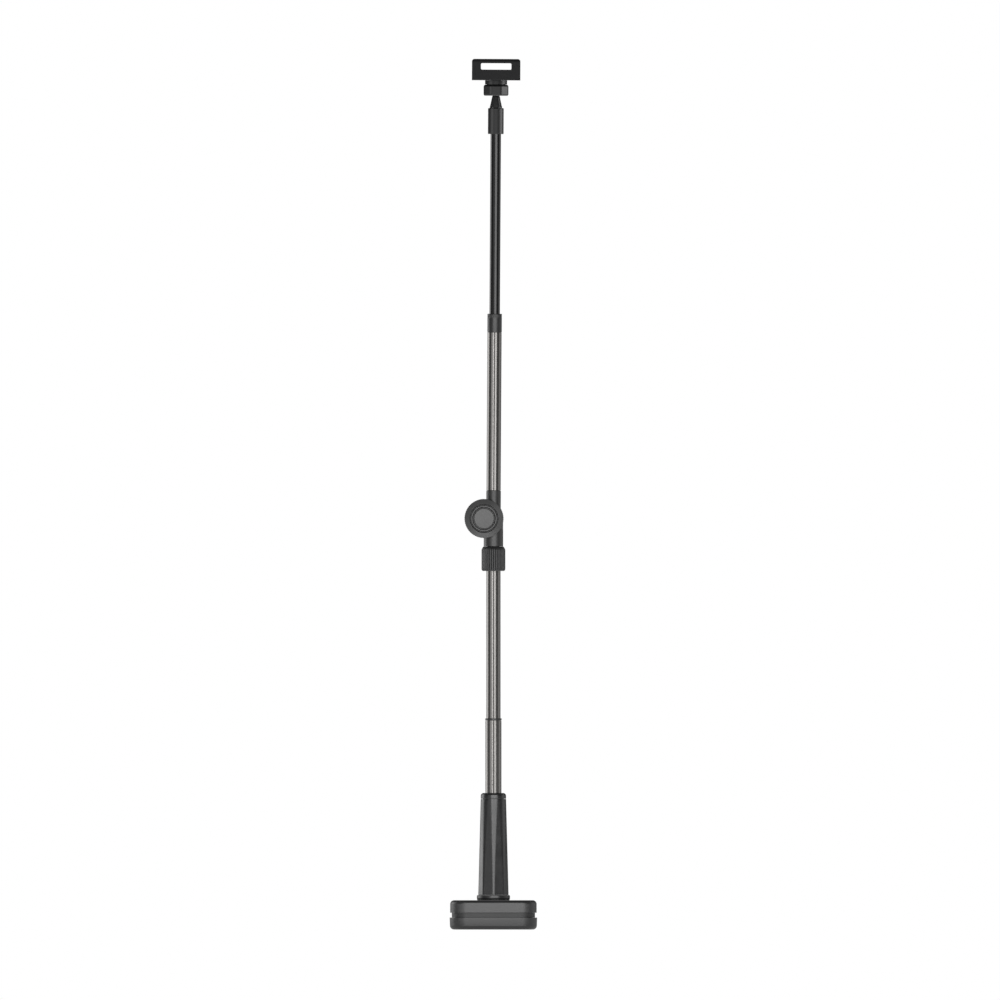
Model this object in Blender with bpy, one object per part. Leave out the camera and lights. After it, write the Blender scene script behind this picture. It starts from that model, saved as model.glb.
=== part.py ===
"""Selfie stick that stands on a weighted base: two-stage pole, folding elbow, telescopic arm,
ball head and spring-loaded phone clamp.

Lengths are in millimetres and become metres as each mesh is made. The pole stands on the Z axis
and the front of the stand faces -Y. Everything above the elbow is laid out upright and hangs
from the elbow's hinge axis, which leans it by ARM_LEAN.
"""

import math

import bmesh
import bpy
from mathutils import Vector

MM = 0.001
GAP = 0.3

# Weighted base, a rounded square in plan
BASE_WIDTH = 104.0
BASE_CORNER = 20.4
BASE_CAVITY = 94.4
LOWER_TOP = 14.4
UPPER_BOTTOM = 20.2
UPPER_TOP = 35.2
SOLE_WIDTH = 91.0
SCREW_SPACING = 36.0
BASE_BORE_R = 10.5

# Flange and hand grip
FLANGE_TOP = 41.0
GRIP_BOTTOM = 41.5
GRIP_TOP = 156.8
GRIP_R_BOTTOM = 18.2
GRIP_R_TOP = 15.2
GRIP_BORE_R = 12.8
CAP_TOP = 163.9

# Two-stage pole
OUTER_POLE_R = 9.65
OUTER_POLE_BORE = 8.95
OUTER_POLE_Z = (140.3, 250.9)
INNER_POLE_R = 8.55
INNER_POLE_BORE = 7.85
INNER_POLE_Z = (228.0, 446.0)

# Twist lock
NUT_R = 14.35
NUT_RIBS = 36
NUT_Z = (430.3, 459.7)

# Elbow hinge, with its axis along Y
HINGE_X = -11.3
HINGE_Z = 493.3
ELBOW_R = 11.65
ELBOW_BOTTOM = 460.0
DISC_R = 19.2
DISC_CLEARANCE = 19.9
DISC_INNER_Y = 0.9
DISC_OUTER_Y = 11.7
BOLT_R = 3.0
KNOB_R = 23.5
ARM_LEAN = math.radians(0.35)

# Upper arm
ARM_R = 8.5
ARM_BORE = 7.8
ARM_Z = (527.2, 716.7)
FERRULE_R = 8.68
FERRULE_TOP = 739.0
ROD_R = 6.3
ROD_BORE = 5.5
ROD_Z = (702.0, 975.0)
COLLAR_R = 9.4
COLLAR_Z = (954.7, 985.9)

# Ball head
BALL_R = 8.5
BALL_Z = 1008.0
BALL_NUT_FLAT = 14.95
BALL_NUT_R = 15.5
BALL_NUT_Z = (1000.7, 1013.9)
SOCKET_R = 13.25
SOCKET_TOP = 1018.9

# Phone clamp
CLAMP_WIDTH = 58.1
CLAMP_Z = (1019.2, 1044.8)
CLAMP_CORNERS_Z = (1014.2, 1044.8)  # starts below the clamp, so only its top corners come out round
CLAMP_BODY_TOP = 1029.0
CLAMP_BODY_BACK = 29.4
JAW_INNER_Y = 30.0
JAW_OUTER_Y = 36.0
WINDOW_WIDTH = 36.6
WINDOW_Z = (1032.0, 1039.7)
ROD_SPACING = 14.0
ROD_HEIGHT = 1024.5

FINISHES = {
    "dark_plastic": ((0.045, 0.045, 0.048), 0.0, 0.45),
    "satin_plastic": ((0.03, 0.03, 0.032), 0.0, 0.35),
    "nylon": ((0.72, 0.71, 0.68), 0.0, 0.5),
    "rubber": ((0.02, 0.02, 0.02), 0.0, 0.85),
    "gunmetal": ((0.21, 0.205, 0.20), 1.0, 0.3),
    "black_metal": ((0.012, 0.012, 0.013), 0.6, 0.18),
    "iron": ((0.17, 0.16, 0.155), 1.0, 0.6),
    "steel": ((0.55, 0.55, 0.56), 1.0, 0.3),
}


def clear_scene():
    """Removes what a new file starts with."""
    for obj in list(bpy.data.objects):
        bpy.data.objects.remove(obj, do_unlink=True)


def make_material(name, finish):
    """A material of its own for one piece."""
    colour, metallic, roughness = FINISHES[finish]
    material = bpy.data.materials.new(name)
    material.use_nodes = True
    shader = material.node_tree.nodes["Principled BSDF"]
    shader.inputs["Base Color"].default_value = (*colour, 1.0)
    shader.inputs["Metallic"].default_value = metallic
    shader.inputs["Roughness"].default_value = roughness
    return material


def attach(obj, at, parent):
    """Places obj at a point of the upright layout, under a parent that may lean."""
    obj["upright"] = at
    base = Vector(parent["upright"]) if parent else Vector()
    obj.parent = parent
    obj.location = (Vector(at) - base) * MM
    bpy.context.collection.objects.link(obj)


def joint_axis(name, at, parent=None, lean=0.0):
    """An empty on a joint's axis, which the pieces that move with the joint hang from."""
    empty = bpy.data.objects.new(name, None)
    empty.empty_display_size = 0.02
    empty.rotation_euler.y = lean
    attach(empty, at, parent)
    return empty


def make_object(name, bm, parent):
    """An object from a mesh laid out upright in millimetres, with its origin on its parent's axis."""
    origin = Vector(parent["upright"]) if parent else Vector()
    for vertex in bm.verts:
        vertex.co = (vertex.co - origin) * MM
    bmesh.ops.recalc_face_normals(bm, faces=bm.faces)
    mesh = bpy.data.meshes.new(name)
    bm.to_mesh(mesh)
    bm.free()
    mesh.polygons.foreach_set("use_smooth", [True] * len(mesh.polygons))
    mesh.set_sharp_from_angle(angle=math.radians(32))
    obj = bpy.data.objects.new(name, mesh)
    attach(obj, origin, parent)
    return obj


def make_piece(name, bm, finish, parent=None):
    """One piece of the stand, as a node of its own."""
    piece = make_object(name, bm, parent)
    piece.data.materials.append(make_material(name, finish))
    return piece


def combine(piece, operation, label, bm):
    """Joins a shape to a piece, or cuts or trims the piece with it."""
    tool = make_object(f"{piece.name}_{label}", bm, piece.parent)
    tool.hide_render = True
    tool.display_type = "WIRE"
    modifier = piece.modifiers.new(label, "BOOLEAN")
    modifier.operation = operation
    modifier.solver = "EXACT"
    modifier.object = tool


def skin(bm, low, high):
    """Faces between two rings of vertices, either of which may be a single point."""
    count = max(len(low), len(high))
    for k in range(count):
        after = (k + 1) % count
        corners = [low[k % len(low)], low[after % len(low)], high[after % len(high)], high[k % len(high)]]
        bm.faces.new(list(dict.fromkeys(corners)))


def loft(loops, ring=False, bm=None):
    """A solid skinned over loops of points: a closed ring of loops, or a run with capped ends."""
    bm = bm or bmesh.new()
    rings = [[bm.verts.new(point) for point in loop] for loop in loops]
    for low, high in zip(rings, rings[1:]):
        skin(bm, low, high)
    if ring:
        skin(bm, rings[-1], rings[0])
        return bm
    for cap in (rings[0], rings[-1]):
        if len(cap) > 2:
            bm.faces.new(cap)
    return bm


def circle(radius, height, segments, centre=(0.0, 0.0), along="Z"):
    """Points round an axis that runs along Z or Y. A zero radius gives the one point on the axis."""
    points = []
    for k in range(segments if radius > 0 else 1):
        angle = 2 * math.pi * k / segments
        a = centre[0] + radius * math.cos(angle)
        b = centre[1] + radius * math.sin(angle)
        points.append((a, b, height) if along == "Z" else (a, height, b))
    return points


def turned(profile, segments=32, centre=(0.0, 0.0), along="Z", bm=None):
    """A turned solid from (radius, height) points, hollow unless both ends lie on the axis."""
    loops = [circle(radius, height, segments, centre, along) for radius, height in profile]
    return loft(loops, ring=profile[0][0] > 0, bm=bm)


def tube(outer, inner, span, segments=32, edge=0.0):
    """A plain tube along Z, with its outer edges chamfered."""
    low, high = span
    profile = [(inner, low), (outer - edge, low), (outer, low + edge), (outer, high - edge)]
    profile += [(outer - edge, high), (inner, high)]
    return turned(list(dict.fromkeys(profile)), segments)


def rounded_rectangle(width, depth, radius, steps=4):
    """Corners of a rounded rectangle about the origin, anticlockwise."""
    points = []
    for quarter in range(4):
        sx = 1 if quarter in (0, 3) else -1
        sy = 1 if quarter in (0, 1) else -1
        cx = sx * (width / 2 - radius)
        cy = sy * (depth / 2 - radius)
        for k in range(steps + 1):
            angle = math.pi / 2 * (quarter + k / steps)
            points.append((cx + radius * math.cos(angle), cy + radius * math.sin(angle)))
    return points


def base_loop(width, height):
    """One level of the base. The corner radius follows the width, so edges stay parallel."""
    radius = BASE_CORNER - (BASE_WIDTH - width) / 2
    return [(x, y, height) for x, y in rounded_rectangle(width, width, max(radius, 4.0))]


def base_levels(levels):
    """Loops for levels given as (inset from the base's side, height)."""
    return [base_loop(BASE_WIDTH - 2 * inset, height) for inset, height in levels]


def posts(radius, span, spacing, segments=12):
    """Four round posts at the corners of a square, as one mesh."""
    bm = bmesh.new()
    for x in (-spacing, spacing):
        for y in (-spacing, spacing):
            turned([(0, span[0]), (radius, span[0]), (radius, span[1]), (0, span[1])], segments, (x, y), bm=bm)
    return bm


def box(x_span, y_span, z_span):
    """A plain block."""
    loops = []
    for z in z_span:
        corners = [(x_span[0], y_span[0]), (x_span[1], y_span[0]), (x_span[1], y_span[1]), (x_span[0], y_span[1])]
        loops.append([(x, y, z) for x, y in corners])
    return loft(loops)


def front_prism(width, z_span, radius, y_span):
    """A rounded rectangle seen from the front, run along Y."""
    middle = sum(z_span) / 2
    outline = rounded_rectangle(width, z_span[1] - z_span[0], radius)
    return loft([[(x, y, middle + z) for x, z in outline] for y in y_span])


def side_prism(outline, width):
    """An outline of (y, z) points seen from the side, run along X."""
    return loft([[(x, y, z) for y, z in outline] for x in (-width / 2, width / 2)])


def arc(centre, radius, start, end, steps):
    """Points along an arc, with angles in degrees."""
    points = []
    for k in range(steps + 1):
        angle = math.radians(start + (end - start) * k / steps)
        points.append((centre[0] + radius * math.cos(angle), centre[1] + radius * math.sin(angle)))
    return points


def build_base():
    """Rubber sole, two shells round an iron weight, and the waist band between them."""
    sole = [base_loop(width, z) for width, z in ((SOLE_WIDTH - 0.8, 0), (SOLE_WIDTH, 0.4), (SOLE_WIDTH, 2.2))]
    make_piece("sole_pad", loft(sole), "rubber")

    recess = (BASE_WIDTH - SOLE_WIDTH) / 2 - GAP
    wall = (BASE_WIDTH - BASE_CAVITY) / 2
    lower = base_levels([
        (recess, 2.5), (recess, 0.6), (2.45, 0.6), (1.4, 1.4), (0.5, 2.7), (0.0, 4.8),
        (-0.5, 14.0), (-0.1, LOWER_TOP), (wall, LOWER_TOP), (wall, 6.5),
    ])
    lower_shell = make_piece("base_lower_shell", loft(lower), "dark_plastic")
    combine(lower_shell, "DIFFERENCE", "screw_holes", posts(2.0, (1.0, 8.0), SCREW_SPACING))
    combine(lower_shell, "DIFFERENCE", "screw_seats", posts(4.0, (1.5, 4.5), SCREW_SPACING))

    band_wall = [(2.1, LOWER_TOP + GAP), (2.1, UPPER_BOTTOM - GAP)]
    band_inner = [(wall, UPPER_BOTTOM - GAP), (wall, LOWER_TOP + GAP)]
    make_piece("base_waist_band", loft(base_levels(band_wall + band_inner), ring=True), "satin_plastic")

    upper = base_levels([
        (wall, 31.7), (wall, UPPER_BOTTOM), (0.4, UPPER_BOTTOM), (0.1, 20.5), (0.1, 30.7),
        (0.5, 31.9), (3.5, 34.8), (4.8, UPPER_TOP),
    ])
    upper_shell = make_piece("base_upper_shell", loft(upper), "dark_plastic")
    combine(upper_shell, "UNION", "screw_posts", posts(4.4, (10.0, 32.5), SCREW_SPACING))
    combine(upper_shell, "DIFFERENCE", "screw_bores", posts(1.95, (9.0, 28.0), SCREW_SPACING))
    bore = [(0, 5.0), (BASE_BORE_R, 5.0), (BASE_BORE_R, 40.0), (0, 40.0)]
    combine(upper_shell, "DIFFERENCE", "pole_bore", turned(bore, 32))

    weight_inset = wall + 0.4
    weight = base_levels([(weight_inset + 1.0, 7.0), (weight_inset, 8.0), (weight_inset, 27.0),
                          (weight_inset + 1.0, 28.0)])
    counterweight = make_piece("counterweight", loft(weight), "iron")
    combine(counterweight, "DIFFERENCE", "post_holes", posts(5.0, (5.0, 30.0), SCREW_SPACING))
    combine(counterweight, "DIFFERENCE", "pole_bore", turned(bore, 32))

    for k, (x, y) in enumerate(((-1, -1), (1, -1), (1, 1), (-1, 1)), start=1):
        centre = (x * SCREW_SPACING, y * SCREW_SPACING)
        screw = [(0, 2.8), (3.2, 2.8), (3.6, 3.2), (3.6, 4.2), (1.65, 4.2), (1.65, 24.0), (0, 24.6)]
        make_piece(f"base_screw_{k}", turned(screw, 12, centre), "steel")


def grip_loop(radius, height, roundness, segments=40):
    """One level of the grip: a circle, or an octagon with a corner at the front, or in between."""
    points = []
    for k in range(segments):
        angle = 2 * math.pi * k / segments
        off_face = (angle % (math.pi / 4)) - math.pi / 8
        octagon = radius * math.cos(math.pi / 8) / math.cos(off_face)
        r = octagon + (radius - octagon) * roundness
        points.append((r * math.cos(angle), r * math.sin(angle), height))
    return points


def build_grip():
    """Flange on the base, tapered hand grip, its guide sleeve and its top cap."""
    flange = [
        (BASE_BORE_R, UPPER_TOP + GAP), (19.2, UPPER_TOP + GAP), (19.9, 37.0), (20.0, 39.4),
        (19.6, 40.4), (18.6, FLANGE_TOP), (BASE_BORE_R, FLANGE_TOP),
    ]
    make_piece("flange_ring", turned(flange), "dark_plastic")

    loops = []
    for k in range(6):
        t = k / 5
        height = GRIP_BOTTOM + (GRIP_TOP - GRIP_BOTTOM) * t
        radius = GRIP_R_BOTTOM + (GRIP_R_TOP - GRIP_R_BOTTOM) * t
        loops.append(grip_loop(radius, height, roundness=0.15 + 0.85 * t))
    loops.append(circle(GRIP_BORE_R, GRIP_TOP, 40))
    loops.append(circle(GRIP_BORE_R, GRIP_BOTTOM, 40))
    make_piece("grip_shell", loft(loops, ring=True), "dark_plastic")
    make_piece("grip_guide_sleeve", tube(GRIP_BORE_R - GAP, 11.0, (GRIP_BOTTOM, 150.6)), "nylon")

    cap = [
        (10.0, 151.0), (GRIP_BORE_R - GAP, 151.0), (GRIP_BORE_R - GAP, GRIP_TOP + GAP),
        (GRIP_R_TOP, GRIP_TOP + GAP), (15.1, 160.2), (14.7, 161.8), (13.9, 163.1), (12.9, CAP_TOP), (10.0, CAP_TOP),
    ]
    make_piece("grip_top_cap", turned(cap), "dark_plastic")


def build_pole():
    """Outer pole that slides into the grip, inner pole that slides into it, and the twist lock."""
    outer = joint_axis("outer_pole_axis", (0, 0, OUTER_POLE_Z[0]))
    make_piece("outer_pole_tube", tube(OUTER_POLE_R, OUTER_POLE_BORE, OUTER_POLE_Z), "gunmetal", outer)
    make_piece("outer_pole_bush", tube(10.7, OUTER_POLE_R + GAP, (140.0, 147.0), edge=0.3), "nylon", outer)
    end_ring = tube(9.85, OUTER_POLE_BORE - 0.05, (OUTER_POLE_Z[1] + GAP, 253.5), edge=0.25)
    make_piece("outer_pole_end_ring", end_ring, "satin_plastic", outer)

    inner = joint_axis("inner_pole_axis", (0, 0, INNER_POLE_Z[0]), outer)
    make_piece("inner_pole_tube", tube(INNER_POLE_R, INNER_POLE_BORE, INNER_POLE_Z), "gunmetal", inner)
    bush = [
        (5.0, 224.0), (8.5, 224.0), (8.8, 224.3), (8.8, 227.7), (7.55, 227.7), (7.55, 236.0), (5.0, 236.0),
    ]
    make_piece("inner_pole_bush", turned(bush), "nylon", inner)
    make_piece("pole_top_ferrule", tube(11.7, INNER_POLE_R + GAP, (434.0, 446.0)), "steel", inner)
    collet = make_piece("lock_collet", tube(11.7, 7.65, (446.4, 457.0), edge=0.8), "nylon", inner)
    combine(collet, "DIFFERENCE", "slit", box((-0.7, 0.7), (4.0, 14.0), (440.0, 460.0)))

    nut_axis = joint_axis("twist_lock_axis", (0, 0, NUT_Z[0]), inner)
    make_piece("twist_lock_nut", loft(twist_nut_loops(), ring=True), "satin_plastic", nut_axis)
    return inner


def twist_nut_loops():
    """Ribbed outside and stepped bore of the twist-lock nut."""
    low, high = NUT_Z
    segments = 2 * NUT_RIBS
    loops = []
    for drop, height, groove in ((1.8, low, 0.0), (0.5, low + 0.8, 0.0), (0.0, low + 1.8, 0.5),
                                 (0.0, high - 3.7, 0.5), (2.4, high, 0.0)):
        loop = circle(NUT_R - drop, height, segments)
        for k in range(1, segments, 2):
            share = (NUT_R - drop - groove) / (NUT_R - drop)
            loop[k] = (loop[k][0] * share, loop[k][1] * share, height)
        loops.append(loop)
    for radius, height in ((8.0, high), (8.0, 457.3), (12.1, 457.3), (12.1, 433.6), (8.95, 433.6), (8.95, low)):
        loops.append(circle(radius, height, segments))
    return loops


def hinge_turned(profile, segments=36, bm=None):
    """A turned solid round the elbow's hinge axis, from (radius, y) points."""
    return turned(profile, segments, (HINGE_X, HINGE_Z), "Y", bm)


def cylinder_profile(radius, span):
    """Profile of a plain solid cylinder."""
    return [(0, span[0]), (radius, span[0]), (radius, span[1]), (0, span[1])]


def build_elbow(inner_pole):
    """Lower half of the elbow with its bolt, washer and clamping knob, and the upper half."""
    swivel = joint_axis("elbow_swivel_axis", (0, 0, ELBOW_BOTTOM), inner_pole)
    body = [
        (0, 426.0), (7.0, 426.0), (7.3, 426.3), (7.3, ELBOW_BOTTOM), (11.15, ELBOW_BOTTOM),
        (ELBOW_R, ELBOW_BOTTOM + 0.5), (ELBOW_R, 489.6), (10.2, 491.0), (0, 491.0),
    ]
    lower = make_piece("elbow_lower_body", turned(body, 36), "satin_plastic", swivel)
    front = hinge_turned(cylinder_profile(DISC_CLEARANCE, (-20.0, DISC_INNER_Y)))
    combine(lower, "DIFFERENCE", "front_clearance", front)
    combine(lower, "DIFFERENCE", "shoulder_clearance", box((-2, 16), (-16, DISC_INNER_Y), (480, 495)))
    disc = [(0, DISC_INNER_Y), (DISC_R, DISC_INNER_Y), (DISC_R, 10.7), (18.2, DISC_OUTER_Y), (0, DISC_OUTER_Y)]
    combine(lower, "UNION", "disc", hinge_turned(disc))
    combine(lower, "DIFFERENCE", "bolt_hole", hinge_turned(cylinder_profile(BOLT_R + GAP, (-5.0, 20.0)), 24))

    washer = [(BOLT_R + 0.4, -0.6), (18.0, -0.6), (18.0, 0.6), (BOLT_R + 0.4, 0.6)]
    make_piece("hinge_washer", hinge_turned(washer), "nylon", swivel)
    rear_cap = [
        (0, 15.8), (6.9, 15.8), (6.9, 12.0), (11.0, 12.0), (11.0, 15.6), (10.3, 16.8), (9.0, 17.3), (0, 17.3),
    ]
    make_piece("hinge_rear_cap", hinge_turned(rear_cap, 32), "satin_plastic", swivel)
    bolt = make_piece("hinge_bolt", hinge_turned(cylinder_profile(BOLT_R, (-17.4, 13.0)), 24), "steel", swivel)
    combine(bolt, "UNION", "hex_head", hinge_turned(cylinder_profile(6.2, (12.0, 15.4)), 6))

    knob_axis = joint_axis("hinge_knob_axis", (HINGE_X, 0, HINGE_Z), swivel)
    knob = [
        (BOLT_R + GAP, -12.0), (22.7, -12.0), (KNOB_R, -12.8), (KNOB_R, -16.9), (17.1, -19.4),
        (16.9, -18.4), (15.6, -18.4), (15.4, -20.1), (13.6, -20.1), (13.5, -17.7), (BOLT_R + GAP, -17.7),
    ]
    make_piece("hinge_knob", hinge_turned(knob, 48), "satin_plastic", knob_axis)
    knob_cap = [(0, -18.0), (12.0, -18.0), (12.0, -19.7), (11.5, -20.2), (0, -20.2)]
    make_piece("hinge_knob_cap", hinge_turned(knob_cap), "satin_plastic", knob_axis)
    return swivel


def build_upper_arm(swivel):
    """Upper half of the elbow, the arm tube and its end ferrule."""
    fold = joint_axis("elbow_fold_axis", (HINGE_X, 0, HINGE_Z), swivel, ARM_LEAN)
    neck = [
        (0, 496.0), (8.75, 496.0), (8.75, ARM_Z[0] - 0.6), (8.5, ARM_Z[0] - GAP), (7.5, ARM_Z[0] - GAP),
        (7.5, 538.0), (7.1, 538.5), (0, 538.5),
    ]
    upper = make_piece("elbow_upper_body", turned(neck, 36), "satin_plastic", fold)
    rear = hinge_turned(cylinder_profile(DISC_CLEARANCE, (-DISC_INNER_Y, 20.0)))
    combine(upper, "DIFFERENCE", "rear_clearance", rear)
    disc = [(0, -DISC_OUTER_Y), (DISC_R, -DISC_OUTER_Y), (DISC_R, -DISC_INNER_Y), (0, -DISC_INNER_Y)]
    combine(upper, "UNION", "disc", hinge_turned(disc))
    combine(upper, "DIFFERENCE", "bolt_hole", hinge_turned(cylinder_profile(BOLT_R + GAP, (-20.0, 5.0)), 24))

    make_piece("upper_arm_tube", tube(ARM_R, ARM_BORE, ARM_Z), "gunmetal", fold)
    ferrule = [
        (ROD_R + GAP, 709.0), (7.5, 709.0), (7.5, ARM_Z[1] + GAP), (FERRULE_R, ARM_Z[1] + GAP),
        (FERRULE_R, FERRULE_TOP - 0.4), (8.3, FERRULE_TOP), (ROD_R + GAP, FERRULE_TOP),
    ]
    make_piece("upper_arm_ferrule", turned(ferrule), "satin_plastic", fold)
    return fold


def build_rod(fold):
    """Rod that slides into the arm, with its bush and the collar that carries the ball."""
    slide = joint_axis("rod_axis", (0, 0, ROD_Z[0]), fold)
    make_piece("rod_tube", tube(ROD_R, ROD_BORE, ROD_Z), "black_metal", slide)
    bush = [(2.5, 697.0), (7.2, 697.0), (7.5, 697.3), (7.5, 701.7), (5.2, 701.7), (5.2, 709.5), (2.5, 709.5)]
    make_piece("rod_bush", turned(bush, 32), "nylon", slide)
    low, high = COLLAR_Z
    collar = [
        (ROD_R + GAP, low), (COLLAR_R - 0.6, low), (COLLAR_R, low + 0.6), (COLLAR_R, high - 1.0),
        (COLLAR_R - 1.0, high), (3.2, high), (3.2, 975.3), (ROD_R + GAP, 975.3),
    ]
    make_piece("stem_collar", turned(collar), "satin_plastic", slide)
    return slide


def build_ball_head(slide):
    """Ball on its stem, nylon liner, and the socket and clamping nut that hold them."""
    spin = joint_axis("head_swivel_axis", (0, 0, BALL_Z), slide)
    stem = [
        (0, 977.0), (2.9, 977.0), (2.9, 986.2), (7.4, 986.2), (7.4, 986.8), (4.7, 999.4), (4.2, 1000.1),
    ]
    ball = arc((0, BALL_Z), BALL_R, -60.4, 70.0, 8) + [(0, BALL_Z + BALL_R)]
    make_piece("ball_stem", turned(stem + ball, 28), "black_metal", spin)

    liner_axis = joint_axis("ball_tilt_axis", (0, 0, BALL_Z), spin)
    liner = arc((0, BALL_Z), 9.5, 4, 75, 4) + arc((0, BALL_Z), 8.75, 75, 4, 4)
    make_piece("ball_liner", turned(liner, 32), "nylon", liner_axis)

    head = joint_axis("clamp_tilt_axis", (0, 0, BALL_Z), liner_axis)
    cavity = [(0, BALL_Z + 9.75)] + arc((0, BALL_Z), 9.75, 72, -16, 6)
    foot = cavity[-1][1]
    socket = cavity + [
        (11.4, foot), (11.4, 1014.2), (SOCKET_R - 0.4, 1014.2), (SOCKET_R, 1014.6), (SOCKET_R, SOCKET_TOP),
        (6.0, SOCKET_TOP), (6.0, 1023.0), (0, 1023.0),
    ]
    make_piece("ball_socket", turned(socket), "satin_plastic", head)

    nut_axis = joint_axis("ball_nut_axis", (0, 0, BALL_NUT_Z[0]), head)
    make_piece("ball_nut", loft(ball_nut_loops(), ring=True), "satin_plastic", nut_axis)
    return head


def ball_nut_loops():
    """Octagon with rounded corners outside, and a bore whose lip holds the ball."""
    low, high = BALL_NUT_Z
    loops = []
    for drop, height in ((1.2, low), (0.0, low + 1.2), (0.0, high - 1.8), (1.8, high)):
        loop = []
        for k in range(40):
            angle = 2 * math.pi * k / 40
            off_flat = (angle + math.pi / 8) % (math.pi / 4) - math.pi / 8
            radius = min(BALL_NUT_FLAT / math.cos(off_flat), BALL_NUT_R) - drop
            loop.append((radius * math.cos(angle), radius * math.sin(angle), height))
        loops.append(loop)
    for radius, height in ((11.8, high), (11.8, 1005.0), (8.1, 1004.9), (8.1, 1004.2), (11.5, low)):
        loops.append(circle(radius, height, 40))
    return loops


def jaw_outline(sign, inner, bottom):
    """Side view of a jaw: straight inside, with the outer top edge rounded."""
    top = CLAMP_Z[1]
    outline = [(sign * inner, bottom), (sign * inner, top - 0.8), (sign * (inner + 0.8), top)]
    outline += [(sign * y, z) for y, z in arc((JAW_OUTER_Y - 4.4, top - 4.4), 4.4, 80, 0, 4)]
    return outline + [(sign * JAW_OUTER_Y, CLAMP_Z[0] + 0.6), (sign * (JAW_OUTER_Y - 0.6), CLAMP_Z[0])]


def window_cutter(y_span):
    """The jaw's slot-shaped window."""
    return front_prism(WINDOW_WIDTH, WINDOW_Z, 1.5, y_span)


def build_clamp(head):
    """Clamp body with the fixed jaw, its cover, pads and screws."""
    floor, body_top = CLAMP_Z[0], CLAMP_BODY_TOP
    outline = jaw_outline(-1, JAW_INNER_Y, body_top)
    outline += [(CLAMP_BODY_BACK, floor), (CLAMP_BODY_BACK, body_top)]
    body = make_piece("clamp_body", side_prism(outline, CLAMP_WIDTH + 4), "dark_plastic", head)
    combine(body, "INTERSECT", "corners", front_prism(CLAMP_WIDTH, CLAMP_CORNERS_Z, 3.0, (-40, 40)))
    combine(body, "DIFFERENCE", "window", window_cutter((-40, -20)))
    combine(body, "DIFFERENCE", "tray", box((-26.2, 26.2), (-27.2, 26.4), (1021.7, 1035.0)))
    combine(body, "DIFFERENCE", "socket_hole", turned(cylinder_profile(6.3, (1015, 1025)), 32))
    combine(body, "DIFFERENCE", "rod_holes", clamp_rods(1.75, (20.0, 35.0)))
    combine(body, "DIFFERENCE", "screw_holes", posts(1.7, (1015, 1025), 21.5))
    combine(body, "DIFFERENCE", "screw_seats", posts(2.9, (1018, 1020.4), 21.5))

    cover = make_piece("clamp_cover", box((-25.8, 25.8), (-26.8, 26.0), (1027.4, 1028.8)), "dark_plastic", head)
    combine(cover, "UNION", "screw_posts", posts(3.4, (1022.1, 1028.0), 21.5))
    combine(cover, "DIFFERENCE", "screw_bores", posts(1.5, (1020.0, 1026.5), 21.5))
    for k, (x, y) in enumerate(((-1, -1), (1, -1), (1, 1), (-1, 1)), start=1):
        screw = [(0, 1019.4), (2.5, 1019.4), (2.5, 1020.1), (1.2, 1020.1), (1.2, 1025.6), (0, 1026.0)]
        make_piece(f"clamp_screw_{k}", turned(screw, 12, (x * 21.5, y * 21.5)), "steel", head)

    pad = [(x, y, z) for z in (1029.1, 1030.3) for x, y in rounded_rectangle(48.0, 50.0, 3.0)]
    count = len(pad) // 2
    make_piece("phone_rest_pad", loft([pad[:count], pad[count:]]), "rubber", head)
    make_jaw_pad("fixed_jaw_pad", (-29.7, -28.5), head)


def make_jaw_pad(name, y_span, parent):
    """A soft pad on a jaw's inside, with a window a little larger than the jaw's."""
    pad = make_piece(name, front_prism(50.0, (1030.9, 1043.4), 2.0, y_span), "rubber", parent)
    hole = front_prism(WINDOW_WIDTH + 1.0, (WINDOW_Z[0] - 0.5, WINDOW_Z[1] + 0.5), 1.8, (y_span[0] - 5, y_span[1] + 5))
    combine(pad, "DIFFERENCE", "window", hole)


def clamp_rods(radius, y_span):
    """Two rods along Y, side by side in the clamp body, as one mesh."""
    bm = bmesh.new()
    for x in (-ROD_SPACING, ROD_SPACING):
        turned(cylinder_profile(radius, y_span), 16, (x, ROD_HEIGHT), "Y", bm)
    return bm


def build_sliding_jaw(head):
    """Jaw that pulls out along Y on two guide rods, against a spring on each rod."""
    axis = joint_axis("jaw_slide_axis", (0, CLAMP_BODY_BACK, ROD_HEIGHT), head)
    outline = jaw_outline(1, JAW_INNER_Y - GAP, CLAMP_Z[0])
    jaw = make_piece("sliding_jaw", side_prism(outline, CLAMP_WIDTH + 4), "dark_plastic", axis)
    combine(jaw, "INTERSECT", "corners", front_prism(CLAMP_WIDTH, CLAMP_CORNERS_Z, 3.0, (20, 45)))
    combine(jaw, "DIFFERENCE", "window", window_cutter((20, 45)))
    combine(jaw, "DIFFERENCE", "rod_holes", clamp_rods(1.75, (25.0, 34.2)))
    make_jaw_pad("sliding_jaw_pad", (28.2, 29.4), axis)

    for side, x in (("left", -ROD_SPACING), ("right", ROD_SPACING)):
        rod = [(0, -25.0), (2.4, -25.0), (2.4, -23.5), (1.4, -23.5), (1.4, 33.8), (0, 33.8)]
        make_piece(f"guide_rod_{side}", turned(rod, 16, (x, ROD_HEIGHT), "Y"), "steel", axis)
        make_piece(f"jaw_spring_{side}", spring(x), "steel", head)


def spring(x):
    """Coil spring round a guide rod."""
    turns, steps, sides = 7, 8, 4
    coil_r, wire_r = 2.15, 0.3
    start, end = -22.8, 25.7
    loops = []
    for k in range(turns * steps + 1):
        angle = 2 * math.pi * k / steps
        y = start + (end - start) * k / (turns * steps)
        loop = []
        for n in range(sides):
            around = 2 * math.pi * n / sides
            r = coil_r + wire_r * math.cos(around)
            loop.append((x + r * math.cos(angle), y + wire_r * math.sin(around), ROD_HEIGHT + r * math.sin(angle)))
        loops.append(loop)
    return loft(loops)


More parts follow.
